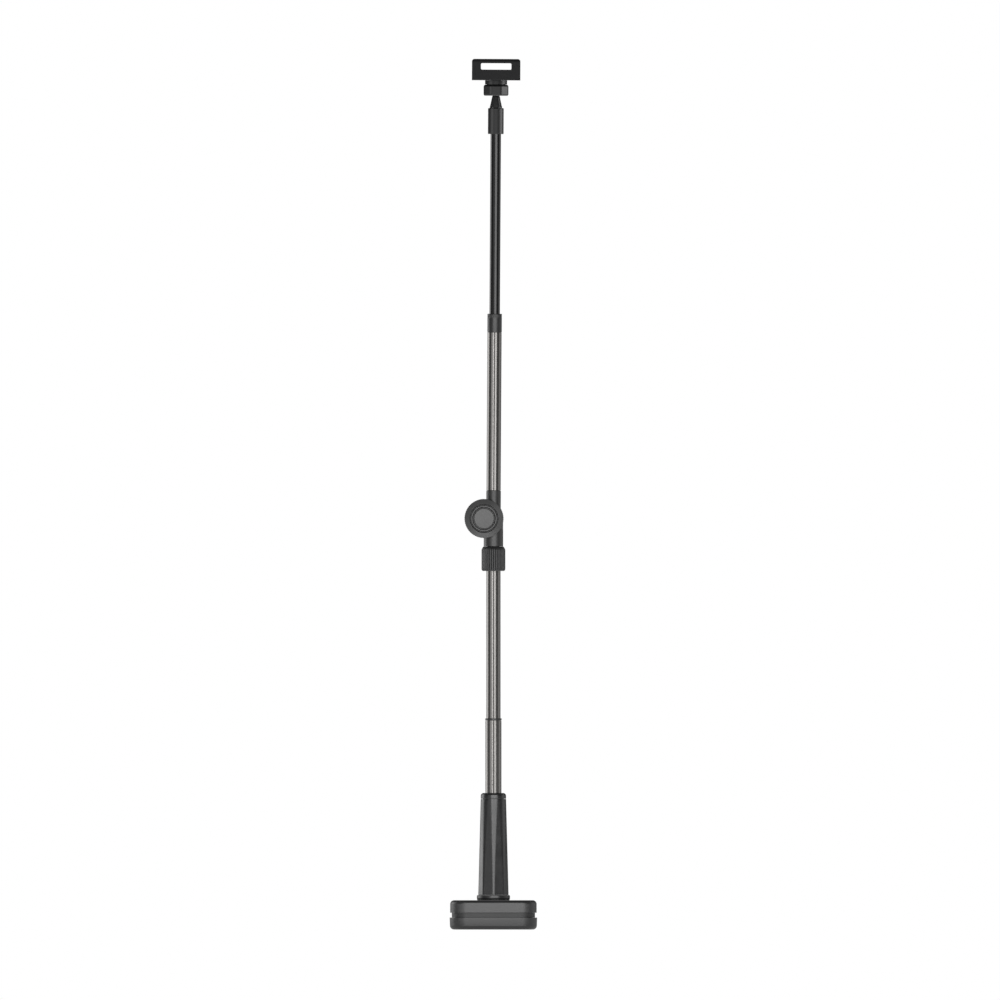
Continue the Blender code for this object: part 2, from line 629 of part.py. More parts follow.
def main():
    clear_scene()
    build_base()
    build_grip()
    inner_pole = build_pole()
    swivel = build_elbow(inner_pole)
    fold = build_upper_arm(swivel)
    slide = build_rod(fold)
    head = build_ball_head(slide)
    build_clamp(head)
    build_sliding_jaw(head)


main()
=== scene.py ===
"""Looks of the selfie stick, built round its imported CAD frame.

Shapes are laid out upright in millimetres, as a drawing of the stand would give them, and become
metres in the row frame as each mesh is made. What the elbow carries leans by ARM_LEAN.
"""

import math

import bmesh
import bpy
from mathutils import Matrix, Vector


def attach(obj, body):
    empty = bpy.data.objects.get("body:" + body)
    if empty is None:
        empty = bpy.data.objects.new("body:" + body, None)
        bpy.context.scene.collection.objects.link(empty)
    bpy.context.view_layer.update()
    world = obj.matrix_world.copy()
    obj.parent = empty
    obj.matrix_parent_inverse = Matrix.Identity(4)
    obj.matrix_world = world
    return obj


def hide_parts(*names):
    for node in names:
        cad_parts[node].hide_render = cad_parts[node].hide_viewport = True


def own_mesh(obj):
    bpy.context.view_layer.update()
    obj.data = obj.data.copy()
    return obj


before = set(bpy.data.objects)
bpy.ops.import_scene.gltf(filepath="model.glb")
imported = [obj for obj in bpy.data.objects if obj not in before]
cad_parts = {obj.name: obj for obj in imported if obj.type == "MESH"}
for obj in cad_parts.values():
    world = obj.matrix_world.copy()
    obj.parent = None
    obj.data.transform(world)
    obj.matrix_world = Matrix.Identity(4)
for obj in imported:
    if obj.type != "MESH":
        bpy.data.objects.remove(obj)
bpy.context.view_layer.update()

MM = 0.001

BASE_WIDTH = 104.0
BASE_CORNER = 20.4
BASE_WALL = 4.8
HINGE_X = -11.3
HINGE_Z = 493.3
ARM_LEAN = math.radians(0.35)
BALL_Z = 1008.0
CLAMP_WIDTH = 58.1
CLAMP_Z = (1019.2, 1044.8)
CLAMP_CORNERS_Z = (1014.2, 1044.8)  # starts below the clamp, so only its top corners come out round
WINDOW_WIDTH = 36.6
WINDOW_Z = (1032.0, 1039.7)
CLAMP_BODY_TOP = 1029.0
JAW_OUTER_Y = 36.0
CLAMP_SCREW_AT = 21.5
ROD_SPACING = 14.0
ROD_HEIGHT = 1024.5
GRIP_Z = (41.5, 156.8)
GRIP_R = (18.2, 15.2)
RIDGE_FILLET = 4.2
AMBIENT = 0.12

STAND_BODIES = ("stand", "outer_pole", "inner_pole", "lock_nut", "elbow_lower", "clamping_knob", "upper_arm")
HEAD_BODIES = ("ball", "liner", "clamp", "head_nut", "jaw")
PIECES = {}

PIVOT = Vector((HINGE_X, 0, HINGE_Z))
LEAN = Matrix.Translation(PIVOT) @ Matrix.Rotation(ARM_LEAN, 4, "Y") @ Matrix.Translation(-PIVOT)
LEANING_BODIES = ("upper_arm", "rod", "ball", "liner", "clamp", "head_nut", "jaw")


# ---------------------------------------------------------------- materials


class Shader:
    """A Principled material that is built up node by node."""

    def __init__(self, name, colour, roughness, metallic=0.0):
        self.material = bpy.data.materials.new(name)
        self.material.use_nodes = True
        self.nodes = self.material.node_tree.nodes
        self.links = self.material.node_tree.links
        self.bsdf = self.nodes["Principled BSDF"]
        self.set("Base Color", (*colour, 1.0))
        self.set("Roughness", roughness)
        self.set("Metallic", metallic)
        self.coordinates = self.nodes.new("ShaderNodeTexCoord").outputs["Object"]

    def set(self, socket, value):
        self.bsdf.inputs[socket].default_value = value

    def noise(self, size_mm, stretch=(1.0, 1.0, 1.0), detail=3.0, roughness=0.5):
        """Noise whose features measure about size_mm, drawn out by stretch."""
        mapping = self.nodes.new("ShaderNodeMapping")
        mapping.inputs["Scale"].default_value = [1.0 / s for s in stretch]
        self.links.new(self.coordinates, mapping.inputs["Vector"])
        noise = self.nodes.new("ShaderNodeTexNoise")
        noise.inputs["Scale"].default_value = 1.0 / (size_mm * MM)
        noise.inputs["Detail"].default_value = detail
        noise.inputs["Roughness"].default_value = roughness
        self.links.new(mapping.outputs["Vector"], noise.inputs["Vector"])
        return noise.outputs["Fac"]

    def spread(self, value, low, high, start=0.3, end=0.7):
        """The value's start to end, taken to low to high."""
        remap = self.nodes.new("ShaderNodeMapRange")
        remap.inputs["From Min"].default_value = start
        remap.inputs["From Max"].default_value = end
        remap.inputs["To Min"].default_value = low
        remap.inputs["To Max"].default_value = high
        self.links.new(value, remap.inputs["Value"])
        return remap.outputs["Result"]

    def math(self, operation, a, b):
        node = self.nodes.new("ShaderNodeMath")
        node.operation = operation
        for socket, value in zip(node.inputs, (a, b)):
            if isinstance(value, float):
                socket.default_value = value
            else:
                self.links.new(value, socket)
        return node.outputs["Value"]

    def roughness(self, value):
        self.links.new(value, self.bsdf.inputs["Roughness"])

    def colour(self, factor, first, second):
        """Colour that goes from first to second as factor goes from 0 to 1."""
        mix = self.nodes.new("ShaderNodeMix")
        mix.data_type = "RGBA"
        mix.inputs["A"].default_value = (*first, 1.0)
        mix.inputs["B"].default_value = (*second, 1.0)
        self.links.new(factor, mix.inputs["Factor"])
        self.links.new(mix.outputs["Result"], self.bsdf.inputs["Base Color"])

    def bump(self, height, depth_mm, strength=1.0):
        """Bump of that depth, on top of any that is there."""
        node = self.nodes.new("ShaderNodeBump")
        node.inputs["Distance"].default_value = depth_mm * MM
        node.inputs["Strength"].default_value = strength
        self.links.new(height, node.inputs["Height"])
        normal = self.bsdf.inputs["Normal"]
        if normal.is_linked:
            self.links.new(normal.links[0].from_socket, node.inputs["Normal"])
        self.links.new(node.outputs["Normal"], normal)

    def edges(self):
        """1 along worn outer edges, 0 elsewhere."""
        geometry = self.nodes.new("ShaderNodeNewGeometry")
        edge = self.spread(geometry.outputs["Pointiness"], 0.0, 1.0, 0.53, 0.62)
        return self.math("MULTIPLY", edge, self.spread(self.noise(3.0), 0.2, 1.0))


def moulded_plastic(name, colour, roughness, grain_mm=0.5, depth_mm=0.02, wear=0.5, shine=0.85):
    """Dark moulded plastic: fine spark-eroded grain, faint flow marks and rubbed edges."""
    shader = Shader(name, colour, roughness)
    grain = shader.noise(grain_mm, detail=4.0, roughness=0.6)
    clouds = shader.noise(22.0, detail=2.0)
    rubbed = shader.math("MULTIPLY", shader.edges(), wear)
    tint = shader.math("ADD", shader.spread(clouds, 0.0, 0.25), rubbed)
    tint = shader.math("ADD", tint, shader.spread(grain, -0.06, 0.06))
    shader.colour(tint, [c * 0.9 for c in colour], [min(c * 1.75, 1.0) for c in colour])
    polish = shader.spread(clouds, roughness - 0.035, roughness + 0.035)
    shader.roughness(shader.math("ADD", polish, shader.spread(grain, -0.05, 0.05)))
    shader.bump(grain, depth_mm)
    shader.set("Specular IOR Level", shine)
    return shader.material


def drawn_metal(name, colour, roughness):
    """Anodised drawn tube: fine lines along its length and a slight change of tone."""
    shader = Shader(name, colour, roughness, metallic=1.0)
    lines = shader.noise(0.25, stretch=(1.0, 1.0, 400.0), detail=4.0, roughness=0.65)
    clouds = shader.noise(30.0, stretch=(1.0, 1.0, 3.0))
    tone = shader.math("ADD", shader.spread(clouds, 0.0, 0.5), shader.spread(lines, -0.25, 0.25))
    shader.colour(tone, [c * 0.93 for c in colour], [min(c * 1.07, 1.0) for c in colour])
    shader.roughness(shader.spread(lines, roughness - 0.03, roughness + 0.03))
    shader.bump(lines, 0.00015)
    return shader.material


def gloss_paint(name, colour, roughness):
    """Gloss black finish on metal, with faint orange peel and wiping marks along it."""
    shader = Shader(name, colour, roughness)
    peel = shader.noise(1.6, detail=1.0)
    marks = shader.noise(0.4, stretch=(1.0, 1.0, 60.0), detail=3.0)
    shader.colour(shader.spread(marks, 0.0, 1.0), colour, [c * 1.6 for c in colour])
    shader.roughness(shader.spread(marks, roughness - 0.03, roughness + 0.05))
    shader.bump(peel, 0.001)
    shader.set("Coat Weight", 0.4)
    shader.set("Coat Roughness", 0.08)
    return shader.material


def soft_rubber(name, colour):
    """Matt rubber with a close, dusty grain."""
    shader = Shader(name, colour, 0.85)
    grain = shader.noise(0.35, detail=5.0, roughness=0.7)
    dust = shader.noise(9.0)
    shader.colour(shader.spread(dust, 0.0, 0.6), colour, [c * 1.9 for c in colour])
    shader.roughness(shader.spread(grain, 0.78, 0.95))
    shader.bump(grain, 0.03)
    return shader.material


def machined_steel(name, colour, roughness):
    """Plated steel with turning marks."""
    shader = Shader(name, colour, roughness, metallic=1.0)
    marks = shader.noise(0.3, stretch=(6.0, 6.0, 1.0), detail=4.0)
    shader.colour(shader.spread(shader.noise(4.0), 0.0, 1.0), [c * 0.88 for c in colour], colour)
    shader.roughness(shader.spread(marks, roughness - 0.08, roughness + 0.1))
    shader.bump(marks, 0.008)
    return shader.material


def cast_iron(name, colour):
    """Rough casting with a brown bloom."""
    shader = Shader(name, colour, 0.65, metallic=0.8)
    skin_noise = shader.noise(1.4, detail=6.0, roughness=0.7)
    bloom = shader.noise(14.0, detail=4.0)
    rusty = [c * share for c, share in zip(colour, (1.1, 0.9, 0.75))]
    shader.colour(shader.spread(bloom, 0.0, 1.0), colour, rusty)
    shader.roughness(shader.spread(skin_noise, 0.5, 0.8))
    shader.bump(skin_noise, 0.25)
    return shader.material


def nylon(name):
    """Natural nylon, slightly translucent."""
    colour = (0.72, 0.71, 0.68)
    shader = Shader(name, colour, 0.45)
    shader.colour(shader.spread(shader.noise(6.0), 0.0, 1.0), [c * 0.94 for c in colour], colour)
    shader.bump(shader.noise(0.5), 0.01)
    shader.set("Subsurface Weight", 0.15)
    shader.set("Subsurface Scale", 0.002)
    return shader.material


BASE_PLASTIC = moulded_plastic("base_plastic", (0.018, 0.018, 0.0185), 0.34, 0.45, 0.004, shine=0.83)
GRIP_PLASTIC = moulded_plastic("grip_plastic", (0.008, 0.008, 0.0086), 0.24, 0.4, 0.003, shine=0.9)
KNOB_PLASTIC = moulded_plastic("knob_plastic", (0.04, 0.04, 0.04), 0.4, 0.4, 0.004, shine=0.9)
ELBOW_PLASTIC = moulded_plastic("elbow_plastic", (0.014, 0.0136, 0.0136), 0.38, 0.4, 0.004)
NUT_PLASTIC = moulded_plastic("nut_plastic", (0.012, 0.012, 0.0124), 0.38, 0.4, 0.004, shine=0.75)
HEAD_PLASTIC = moulded_plastic("head_plastic", (0.012, 0.012, 0.0125), 0.36, 0.4, 0.004)
CLAMP_PLASTIC = moulded_plastic("clamp_plastic", (0.0135, 0.0135, 0.0143), 0.5, 0.55, 0.008, shine=0.38)
BAND_PLASTIC = moulded_plastic("band_plastic", (0.014, 0.014, 0.0145), 0.42, 0.4, 0.004, shine=0.6)
GUNMETAL = drawn_metal("gunmetal_tube", (0.245, 0.237, 0.23), 0.2)
ROD_BLACK = gloss_paint("rod_black", (0.003, 0.003, 0.0033), 0.16)
STEM_BLACK = gloss_paint("stem_black", (0.01, 0.01, 0.0105), 0.34)
RUBBER = soft_rubber("black_rubber", (0.018, 0.018, 0.018))
STEEL = machined_steel("plated_steel", (0.56, 0.56, 0.57), 0.3)
IRON = cast_iron("grey_iron", (0.17, 0.16, 0.155))
NYLON = nylon("natural_nylon")


# ---------------------------------------------------------------- shapes


def skin(bm, low, high):
    """Faces between two rings of vertices, either of which may be a single point."""
    count = max(len(low), len(high))
    for k in range(count):
        after = (k + 1) % count
        corners = [low[k % len(low)], low[after % len(low)], high[after % len(high)], high[k % len(high)]]
        bm.faces.new(list(dict.fromkeys(corners)))


def loft(loops, ring=False, bm=None):
    """A solid skinned over loops of points: a closed ring of loops, or a run with capped ends."""
    bm = bm or bmesh.new()
    rings = [[bm.verts.new(point) for point in loop] for loop in loops]
    for low, high in zip(rings, rings[1:]):
        skin(bm, low, high)
    if ring:
        skin(bm, rings[-1], rings[0])
        return bm
    for cap in (rings[0], rings[-1]):
        if len(cap) > 2:
            bm.faces.new(cap)
    return bm


def circle(radius, height, segments, centre=(0.0, 0.0), along="Z"):
    """Points round an axis along Z or Y. A zero radius gives one point, a function a radius by angle."""
    shaped = callable(radius)
    points = []
    for k in range(segments if shaped or radius > 0 else 1):
        angle = 2 * math.pi * k / segments
        r = radius(angle) if shaped else radius
        a = centre[0] + r * math.cos(angle)
        b = centre[1] + r * math.sin(angle)
        points.append((a, b, height) if along == "Z" else (a, height, b))
    return points


def turned(profile, segments=96, centre=(0.0, 0.0), along="Z", bm=None):
    """A turned solid from (radius, height) points, hollow unless both ends lie on the axis."""
    loops = [circle(radius, height, segments, centre, along) for radius, height in profile]
    first = profile[0][0]
    return loft(loops, ring=callable(first) or first > 0, bm=bm)


def rounded(profile, radii, steps=5):
    """A closed or open profile with fillets: radii maps a corner's index to its fillet's radius."""
    points = []
    count = len(profile)
    for k, corner in enumerate(profile):
        if k not in radii:
            points.append(corner)
            continue
        here = Vector(corner)
        to_last = (Vector(profile[k - 1]) - here).normalized()
        to_next = (Vector(profile[(k + 1) % count]) - here).normalized()
        half = to_last.angle(to_next) / 2
        reach = radii[k] / math.tan(half)
        centre = here + (to_last + to_next).normalized() * (radii[k] / math.sin(half))
        start, end = here + to_last * reach - centre, here + to_next * reach - centre
        for n in range(steps + 1):
            turn = start.normalized().slerp(end.normalized(), n / steps)
            point = centre + turn * radii[k]
            points.append((point.x, point.y))
    return points


def rounded_rectangle(width, depth, radius, steps=12):
    """Corners of a rounded rectangle about the origin, anticlockwise."""
    points = []
    for quarter in range(4):
        sx = 1 if quarter in (0, 3) else -1
        sy = 1 if quarter in (0, 1) else -1
        cx = sx * (width / 2 - radius)
        cy = sy * (depth / 2 - radius)
        for k in range(steps + 1):
            angle = math.pi / 2 * (quarter + k / steps)
            points.append((cx + radius * math.cos(angle), cy + radius * math.sin(angle)))
    return points


def base_levels(levels):
    """Loops of the base for levels given as (inset from its side, height)."""
    loops = []
    for inset, height in levels:
        width = BASE_WIDTH - 2 * inset
        radius = max(BASE_CORNER - inset, 3.0)
        loops.append([(x, y, height) for x, y in rounded_rectangle(width, width, radius)])
    return loops


def front_prism(width, z_span, radius, y_span):
    """A rounded rectangle seen from the front, run along Y."""
    middle = sum(z_span) / 2
    outline = rounded_rectangle(width, z_span[1] - z_span[0], radius, 8)
    return loft([[(x, y, middle + z) for x, z in outline] for y in y_span])


def side_prism(outline, width):
    """An outline of (y, z) points seen from the side, run along X."""
    return loft([[(x, y, z) for y, z in outline] for x in (-width / 2, width / 2)])


def box(x_span, y_span, z_span):
    """A plain block, used as a cutter."""
    loops = []
    for z in z_span:
        near = [(x, y_span[0], z) for x in x_span]
        far = [(x, y_span[1], z) for x in reversed(x_span)]
        loops.append(near + far)
    return loft(loops)


def arc(centre, radius, start, end, steps):
    """Points along an arc, with angles in degrees."""
    points = []
    for k in range(steps + 1):
        angle = math.radians(start + (end - start) * k / steps)
        points.append((centre[0] + radius * math.cos(angle), centre[1] + radius * math.sin(angle)))
    return points


def mesh_object(name, bm, body):
    """An object in the row frame from a mesh laid out upright in millimetres."""
    if body in LEANING_BODIES:
        bmesh.ops.transform(bm, matrix=LEAN, verts=bm.verts)
    bmesh.ops.scale(bm, vec=(MM, MM, MM), verts=bm.verts)
    bmesh.ops.recalc_face_normals(bm, faces=bm.faces)
    mesh = bpy.data.meshes.new(name)
    bm.to_mesh(mesh)
    bm.free()
    obj = bpy.data.objects.new(name, mesh)
    bpy.context.scene.collection.objects.link(obj)
    return obj


def smooth(obj, angle):
    """Smooth shading that keeps edges sharper than the angle crisp, and large faces free of their fillets."""
    obj.data.polygons.foreach_set("use_smooth", [True] * len(obj.data.polygons))
    obj.data.set_sharp_from_angle(angle=math.radians(angle))
    weighted = obj.modifiers.new("weighted_normals", "WEIGHTED_NORMAL")
    weighted.keep_sharp = True


def finish_piece(obj, body, material, angle=32):
    """Shade a visible piece, let it ride its body and stand for the CAD node it is named after."""
    smooth(obj, angle)
    obj.data.materials.clear()
    obj.data.materials.append(material)
    PIECES[obj] = body
    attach(obj, body)
    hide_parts(obj.name.removesuffix("_visual"))
    return obj


def piece(name, bm, body, material, angle=32):
    """One visible piece made from a mesh as it is."""
    return finish_piece(mesh_object(name, bm, body), body, material, angle)


def shaped_piece(name, bm, body, material, steps, bevel):
    """A piece made by joining and cutting shapes, then rounding its edges."""
    obj = mesh_object(name, bm, body)
    tools = []
    for operation, shape in steps:
        tool = mesh_object("tool", shape, body)
        tools.append(tool)
        modifier = obj.modifiers.new("shape", "BOOLEAN")
        modifier.operation = operation
        modifier.solver = "EXACT"
        modifier.object = tool
    if bevel:
        rounding = obj.modifiers.new("edges", "BEVEL")
        rounding.width = bevel * MM
        rounding.segments = 3
        rounding.limit_method = "ANGLE"
        rounding.angle_limit = math.radians(40)
    evaluated = obj.evaluated_get(bpy.context.evaluated_depsgraph_get())
    shaped = bpy.data.meshes.new_from_object(evaluated)
    obj.modifiers.clear()
    obj.data = shaped
    for tool in tools:
        bpy.data.objects.remove(tool, do_unlink=True)
    return finish_piece(obj, body, material)


# ---------------------------------------------------------------- base and grip


def build_base():
    """Two slabs with the waist band between them, on a ribbed rubber sole, and the flange on top."""
    sole = [(BASE_WIDTH / 2 - 6.0, 0.0)]
    for half in (12.0, 20.0, 28.0, 36.0):
        inset = BASE_WIDTH / 2 - half
        sole += [(inset, 0.0), (inset - 0.3, 0.6), (inset - 1.7, 0.6), (inset - 2.0, 0.0)]
    sole += [(7.0, 0.0), (6.6, 0.15), (6.5, 0.5), (6.5, 2.2)]
    piece("sole_pad_visual", loft(base_levels(sole)), "stand", RUBBER)

    lower = rounded(
        [(6.2, 2.5), (6.2, 0.6), (4.1, 0.05), (0.0, 0.05), (-0.5, 14.4), (BASE_WALL, 14.4), (BASE_WALL, 6.5)],
        {2: 0.6, 3: 4.8, 4: 0.35}, 8)
    piece("base_lower_shell_visual", loft(base_levels(lower)), "stand", BASE_PLASTIC)

    band = [(2.1, 14.45), (2.1, 17.3), (2.0, 20.15), (BASE_WALL, 20.15), (BASE_WALL, 14.45)]
    piece(
        "base_waist_band_visual", loft(base_levels(band), ring=True), "stand", BAND_PLASTIC)

    upper = rounded(
        [(BASE_WALL, 31.7), (BASE_WALL, 20.2), (0.1, 20.2), (0.1, 35.2), (20.0, 35.2)],
        {2: 0.3, 3: 4.7}, 10)
    loops = base_levels(upper[:-1])
    angles = [math.atan2(y, x) for x, y, _ in loops[-1]]
    for height in (35.2, 31.7):
        loops.append([(10.5 * math.cos(angle), 10.5 * math.sin(angle), height) for angle in angles])
    piece("base_upper_shell_visual", loft(loops, ring=True), "stand", BASE_PLASTIC)

    flange = rounded(
        [(10.5, 35.25), (19.3, 35.25), (20.0, 38.0), (19.7, 41.4), (10.5, 41.4)], {1: 0.4, 2: 1.5, 3: 1.2})
    piece("flange_ring_visual", turned(flange), "stand", BASE_PLASTIC)


def rounded_octagon(radius, fillet, turn=0.0):
    """Octagon whose rounded corners reach the radius, as a radius by angle. A corner lies at the turn."""
    reach = radius - fillet
    apothem = reach * math.cos(math.pi / 8) + fillet
    tangent = math.atan(reach * math.sin(math.pi / 8) / apothem)

    def at(angle):
        off_flat = ((angle - turn) % (math.pi / 4)) - math.pi / 8
        if abs(off_flat) <= tangent:
            return apothem / math.cos(off_flat)
        off_corner = math.pi / 8 - abs(off_flat)
        return reach * math.cos(off_corner) + math.sqrt(fillet**2 - (reach * math.sin(off_corner)) ** 2)
    return at


def build_grip():
    """Tapered grip that goes from a ridged foot to a round top, with its top cap."""
    (low, high), (wide, narrow) = GRIP_Z, GRIP_R
    segments = 240
    loops = []
    for drop, height in ((0.5, low), (0.15, low + 0.15), (0.0, low + 0.5)):
        loops.append(circle(rounded_octagon(wide - drop, RIDGE_FILLET - drop), height, segments))
    for k in range(1, 24):
        t = k / 24
        radius = wide + (narrow - wide) * t
        fillet = RIDGE_FILLET + (radius - RIDGE_FILLET) * t**1.6
        loops.append(circle(rounded_octagon(radius, fillet), low + (high - low) * t, segments))
    loops.append(circle(narrow, high - 0.35, segments))
    loops.append(circle(narrow - 0.1, high - 0.1, segments))
    loops.append(circle(narrow - 0.35, high, segments))
    loops.append(circle(12.8, high, segments))
    loops.append(circle(12.8, low, segments))
    piece("grip_shell_visual", loft(loops, ring=True), "stand", GRIP_PLASTIC, angle=24)

    cap = rounded(
        [(10.0, 151.0), (12.5, 151.0), (12.5, 157.1), (15.2, 157.1), (15.15, 163.9), (10.0, 163.9)],
        {3: 0.35, 4: 3.4, 5: 0.4}, 8)
    piece("grip_top_cap_visual", turned(cap, 128), "stand", GRIP_PLASTIC)


# ---------------------------------------------------------------- pole


def tube_profile(outer, inner, span, edge=0.25):
    """Profile of a tube with rounded ends."""
    low, high = span
    return rounded([(inner, low), (outer, low), (outer, high), (inner, high)], {1: edge, 2: edge}, 3)


def nut_rib(radius, depth, ribs):
    """Rounded ribs with narrow grooves between them, as a radius by angle."""
    def at(angle):
        wave = abs(math.sin(ribs * angle / 2))
        return radius - depth * (1 - wave ** 0.45)
    return at


def build_pole():
    """The two drawn tubes with the ring between them, and the ribbed twist-lock nut."""
    outer = turned(tube_profile(9.65, 8.95, (140.3, 250.9)))
    piece("outer_pole_tube_visual", outer, "outer_pole", GUNMETAL)
    ring = tube_profile(9.85, 8.9, (251.2, 253.5), 0.3)
    piece("outer_pole_end_ring_visual", turned(ring), "outer_pole", NUT_PLASTIC)
    inner = turned(tube_profile(8.55, 7.85, (228.0, 446.0)))
    piece("inner_pole_tube_visual", inner, "inner_pole", GUNMETAL)

    ribs, segments, radius, depth = 36, 360, 14.35, 0.75
    low, high = 430.3, 459.7
    levels = [(1.9, low, 0.0), (1.2, low + 0.25, 0.15), (0.5, low + 0.9, 0.6), (0.1, low + 1.9, 1.0)]
    levels += [(0.0, low + 3.0 + k * 4.2, 1.0) for k in range(6)]
    levels += [(0.05, high - 3.9, 1.0), (0.5, high - 2.7, 0.8), (1.3, high - 1.3, 0.4)]
    levels += [(2.1, high - 0.35, 0.1), (2.6, high, 0.0)]
    loops = []
    for drop, height, share in levels:
        loops.append(circle(nut_rib(radius - drop, depth * share, ribs), height, segments))
    bore = ((8.0, high), (8.0, 457.3), (12.1, 457.3), (12.1, 433.6), (8.95, 433.6), (8.95, low))
    for inside, height in bore:
        loops.append(circle(inside, height, segments))
    piece("twist_lock_nut_visual", loft(loops, ring=True), "lock_nut", NUT_PLASTIC, angle=50)


# ---------------------------------------------------------------- elbow


def hinge_turned(profile, segments=96, bm=None):
    """A turned solid round the elbow's hinge axis, from (radius, y) points."""
    return turned(profile, segments, (HINGE_X, HINGE_Z), "Y", bm)


def rod_profile(radius, span, edge=0.0):
    """Profile of a solid cylinder, with rounded ends if an edge is given."""
    profile = [(0, span[0]), (radius, span[0]), (radius, span[1]), (0, span[1])]
    return rounded(profile, {1: edge, 2: edge}, 4) if edge else profile


def build_elbow():
    """Both halves of the elbow, its knob, the knob's cap and the rear cap."""
    body = rounded(
        [(0, 426.0), (7.3, 426.0), (7.3, 459.8), (11.65, 459.8), (11.65, 491.0), (0, 491.0)],
        {1: 0.4, 3: 0.3, 4: 1.6})
    disc = rounded([(0, 0.9), (19.2, 0.9), (19.2, 11.7), (0, 11.7)], {1: 0.4, 2: 1.4})
    shapes = [
        ("DIFFERENCE", hinge_turned(rod_profile(19.9, (-20.0, 0.9)))),
        ("DIFFERENCE", box((-2, 16), (-16, 0.9), (480, 495))),
        ("UNION", hinge_turned(disc)),
        ("DIFFERENCE", hinge_turned(rod_profile(3.3, (-5.0, 20.0)), 48)),
    ]
    shaped_piece(
        "elbow_lower_body_visual", turned(body), "elbow_lower", ELBOW_PLASTIC, shapes, 0)

    neck = rounded(
        [(0, 496.0), (8.75, 496.0), (8.75, 526.9), (7.5, 526.9), (7.5, 538.5), (0, 538.5)], {2: 0.4, 4: 0.4}, 4)
    disc = rounded([(0, -11.7), (19.2, -11.7), (19.2, -0.9), (0, -0.9)], {1: 1.0, 2: 0.4})
    shapes = [
        ("DIFFERENCE", hinge_turned(rod_profile(19.9, (-0.9, 20.0)))),
        ("UNION", hinge_turned(disc)),
        ("DIFFERENCE", hinge_turned(rod_profile(3.3, (-20.0, 5.0)), 48)),
    ]
    shaped_piece(
        "elbow_upper_body_visual", turned(neck), "upper_arm", ELBOW_PLASTIC, shapes, 0)

    knob = rounded(
        [(3.3, -12.0), (23.5, -12.0), (23.5, -17.0), (17.3, -19.5), (16.4, -14.6), (15.9, -14.6), (15.2, -20.2),
         (14.0, -20.2), (13.2, -14.0), (12.5, -14.0), (12.2, -17.7), (3.3, -17.7)],
        {1: 0.7, 2: 1.0, 3: 0.25, 6: 0.2, 7: 0.2}, 4)
    loops = []
    for radius, y in knob:
        ribbed = nut_rib(radius, 0.35, 60) if radius > 23.2 else radius
        loops.append(circle(ribbed, y, 480, (HINGE_X, HINGE_Z), "Y"))
    piece(
        "hinge_knob_visual", loft(loops, ring=True), "clamping_knob", KNOB_PLASTIC, angle=40)
    cap = rounded([(0, -18.0), (12.0, -18.0), (12.0, -20.2), (0, -20.3)], {2: 0.6})
    piece("hinge_knob_cap_visual", hinge_turned(cap), "clamping_knob", KNOB_PLASTIC)

    rear = rounded(
        [(0, 15.8), (6.9, 15.8), (6.9, 12.0), (11.0, 12.0), (11.0, 17.3), (7.6, 17.3), (7.0, 16.7), (0, 16.7)],
        {4: 1.8, 5: 0.25}, 6)
    piece("hinge_rear_cap_visual", hinge_turned(rear), "elbow_lower", NUT_PLASTIC)


# ---------------------------------------------------------------- arm and rod


def knurl(radius, depth, count, step):
    """Crossed diagonal cuts on a round band, as a radius by angle at one step up the band."""
    def at(angle):
        left = abs(math.sin(count * angle / 2 + step * math.pi / 6))
        right = abs(math.sin(count * angle / 2 - step * math.pi / 6))
        return radius - depth * (1 - min(left, right))
    return at


def build_arm():
    """Arm tube, its sleeve, the black rod and the collar on the rod."""
    arm = turned(tube_profile(8.5, 7.8, (527.2, 716.7), 0.2))
    piece("upper_arm_tube_visual", arm, "upper_arm", GUNMETAL)
    loops = []
    shank = ((6.6, 709.0), (7.5, 709.0), (7.5, 716.85), (8.55, 716.85), (8.68, 717.0), (8.68, 733.2))
    for radius, height in shank:
        loops.append(circle(radius, height, 320))
    for k in range(25):
        share = math.sin(math.pi * k / 24) ** 0.5 if 0 < k < 24 else 0.0
        loops.append(circle(knurl(8.68, 0.22 * share, 40, k / 4), 733.4 + 0.2 * k, 320))
    for radius, height in ((8.66, 738.4), (8.5, 738.85), (8.2, 739.0), (6.6, 739.0)):
        loops.append(circle(radius, height, 320))
    piece(
        "upper_arm_ferrule_visual", loft(loops, ring=True), "upper_arm", NUT_PLASTIC, angle=50)

    piece(
        "rod_tube_visual", turned(tube_profile(6.3, 5.5, (702.0, 975.0), 0.3)), "rod", ROD_BLACK)
    collar = rounded(
        [(6.6, 954.7), (9.4, 954.7), (9.4, 985.9), (3.2, 985.9), (3.2, 975.3), (6.6, 975.3)],
        {0: 0.3, 1: 0.7, 2: 1.1}, 4)
    piece("stem_collar_visual", turned(collar), "rod", HEAD_PLASTIC)


# ---------------------------------------------------------------- ball head


def flutes(radius, depth, count):
    """Shallow flutes round a stem, as a radius by angle."""
    def at(angle):
        return radius - depth * (1 - abs(math.cos(count * angle / 2)))
    return at


